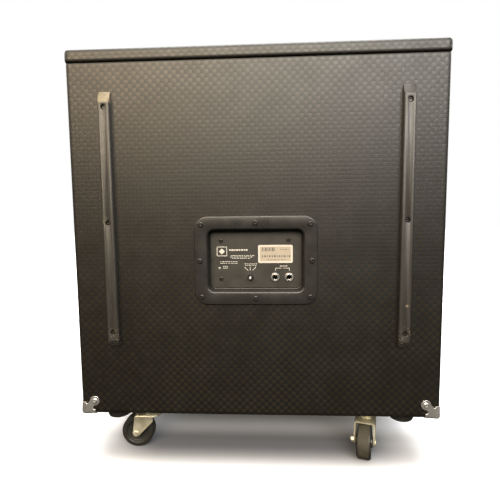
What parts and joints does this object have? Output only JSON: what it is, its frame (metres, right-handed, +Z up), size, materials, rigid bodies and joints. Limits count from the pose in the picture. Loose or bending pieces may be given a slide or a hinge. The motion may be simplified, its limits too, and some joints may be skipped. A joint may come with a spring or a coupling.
{
  "type": "bass guitar speaker cabinet",
  "caption": "Square vinyl-covered bass speaker cabinet on swivel casters, with lift-off latched lid, skid rails, recessed jack plate, woofer and horn.",
  "frame": {"origin": "on the floor under the centre of the whole object", "axes": "+Z up, -Y out of the grille, +Y out of the jack plate, +X to the left of someone facing the jack plate"},
  "size_m": [0.529, 0.4154, 0.587],
  "materials": {
    "vinyl_panels": "plywood under black vinyl with an embossed basket weave",
    "painted_ply": "matt black painted plywood",
    "foam_seal": "closed-cell foam strip",
    "wadding": "loose polyester wadding",
    "grille_frame": "black painted board",
    "grille_cloth": "open woven grille cloth",
    "black_steel": "satin black",
    "magnet_steel": "zinc plated plates and ferrite ring",
    "cone_paper": "ribbed pulp",
    "copper_coil": "copper wire on a former",
    "treated_cloth": "doped cloth",
    "black_plastic": "fine grained moulding",
    "panel_paint": "satin black sheet with plain pale marks",
    "black_screws": "black oxide",
    "nickel": "bright nickel",
    "circuit_board": "green board with its coils and capacitors",
    "wire_sheath": "soft insulated wire",
    "rail_paint": "black paint, scuffed to bare metal at the ends",
    "zinc": "yellowish zinc plate",
    "foot_rubber": "matt",
    "latch_steel": "satin black",
    "wheel_plastic": "moulded hub",
    "wheel_rubber": "dusty hard tread"
  },
  "bodies": {
    "root_cabinet": {"acoustic_lining": "wadding", "back_panel": "vinyl_panels", "bottom_panel": "vinyl_panels", "cabinet_screws": "zinc", "caster_plates": "zinc", "compression_driver": "black_steel", "corner_protectors": "nickel", "crossover_board": "circuit_board", "driver_screws": "black_screws", "front_baffle": "painted_ply", "grille_cloth": "grille_cloth", "grille_frame": "grille_frame", "horn_flare": "black_plastic", "internal_wiring": "wire_sheath", "jack_nuts": "nickel", "jack_panel": "panel_paint", "jack_plate": "black_plastic", "jack_plate_screws": "black_screws", "jack_sockets": "black_plastic", "latch_bases": "latch_steel", "port_tubes": "black_plastic", "rubber_feet": "foot_rubber", "side_handle_left": "black_plastic", "side_handle_right": "black_plastic", "side_panel_left": "vinyl_panels", "side_panel_right": "vinyl_panels", "skid_rail_left": "rail_paint", "skid_rail_right": "rail_paint", "toggle_switch": "black_plastic", "top_frame": "painted_ply", "woofer_basket": "black_steel", "woofer_magnet": "magnet_steel", "woofer_spider": "treated_cloth", "woofer_surround": "treated_cloth"},
    "caster_back_left": {"caster_fork_back_left": "zinc", "caster_axle_back_left": "zinc"},
    "wheel_back_left": {"wheel_hub_back_left": "wheel_plastic", "wheel_tyre_back_left": "wheel_rubber"},
    "caster_back_right": {"caster_fork_back_right": "zinc", "caster_axle_back_right": "zinc"},
    "wheel_back_right": {"wheel_hub_back_right": "wheel_plastic", "wheel_tyre_back_right": "wheel_rubber"},
    "caster_front_left": {"caster_fork_front_left": "zinc", "caster_axle_front_left": "zinc"},
    "wheel_front_left": {"wheel_hub_front_left": "wheel_plastic", "wheel_tyre_front_left": "wheel_rubber"},
    "caster_front_right": {"caster_fork_front_right": "zinc", "caster_axle_front_right": "zinc"},
    "wheel_front_right": {"wheel_hub_front_right": "wheel_plastic", "wheel_tyre_front_right": "wheel_rubber"},
    "lid": {"lid_panel": "vinyl_panels", "lid_gasket": "foam_seal", "lid_battens": "painted_ply", "latch_keepers": "latch_steel"},
    "latch_left": {"latch_hook_left": "latch_steel"},
    "latch_right": {"latch_hook_right": "latch_steel"},
    "toggle": {"toggle_lever": "nickel"},
    "cone": {"woofer_cone": "cone_paper", "dust_cap": "cone_paper", "voice_coil": "copper_coil"}
  },
  "joints": [
    {"name": "swivel_back_left", "type": "hinge", "parent": "root_cabinet", "child": "caster_back_left", "pos_m": [0.167, 0.14475, 0.065], "axis": [0, 0, 1], "continuous": true},
    {"name": "roll_back_left", "type": "hinge", "parent": "caster_back_left", "child": "wheel_back_left", "pos_m": [0.191, 0.14475, 0.025], "axis": [0, 1, 0], "continuous": true},
    {"name": "swivel_back_right", "type": "hinge", "parent": "root_cabinet", "child": "caster_back_right", "pos_m": [-0.167, 0.14475, 0.065], "axis": [0, 0, 1], "continuous": true},
    {"name": "roll_back_right", "type": "hinge", "parent": "caster_back_right", "child": "wheel_back_right", "pos_m": [-0.15958, 0.16758, 0.025], "axis": [-0.9511, 0.309, 0], "continuous": true},
    {"name": "swivel_front_left", "type": "hinge", "parent": "root_cabinet", "child": "caster_front_left", "pos_m": [0.167, -0.15125, 0.065], "axis": [0, 0, 1], "continuous": true},
    {"name": "roll_front_left", "type": "hinge", "parent": "caster_front_left", "child": "wheel_front_left", "pos_m": [0.18893, -0.14149, 0.025], "axis": [-0.4067, 0.9135, 0], "continuous": true},
    {"name": "swivel_front_right", "type": "hinge", "parent": "root_cabinet", "child": "caster_front_right", "pos_m": [-0.167, -0.15125, 0.065], "axis": [0, 0, 1], "continuous": true},
    {"name": "roll_front_right", "type": "hinge", "parent": "caster_front_right", "child": "wheel_front_right", "pos_m": [-0.18925, -0.14226, 0.025], "axis": [-0.3746, -0.9272, 0], "continuous": true},
    {"name": "lid_lift", "type": "slide", "parent": "root_cabinet", "child": "lid", "axis": [0, 0, 1], "range_m": [0, 0.08]},
    {"name": "latch_turn_left", "type": "hinge", "parent": "root_cabinet", "child": "latch_left", "pos_m": [0.2605, -0.00325, 0.532], "axis": [0, 1, 0], "range_deg": [0, 140]},
    {"name": "latch_turn_right", "type": "hinge", "parent": "root_cabinet", "child": "latch_right", "pos_m": [-0.2605, -0.00325, 0.532], "axis": [0, -1, 0], "range_deg": [0, 140]},
    {"name": "toggle_throw", "type": "hinge", "parent": "root_cabinet", "child": "toggle", "pos_m": [0.0077, 0.19295, 0.2768], "axis": [0, 0, 1], "range_deg": [-12, 12]},
    {"name": "cone_travel", "type": "slide", "parent": "root_cabinet", "child": "cone", "axis": [0, -1, 0], "range_m": [-0.004, 0.004], "stiffness_N_per_m": 2500, "deforming": ["woofer_surround", "woofer_spider"]}
  ],
  "couplings": [
    {"joint": "latch_turn_left", "follows": "lid_lift", "rad_per_m": 30},
    {"joint": "latch_turn_right", "follows": "lid_lift", "rad_per_m": 30}
  ]
}
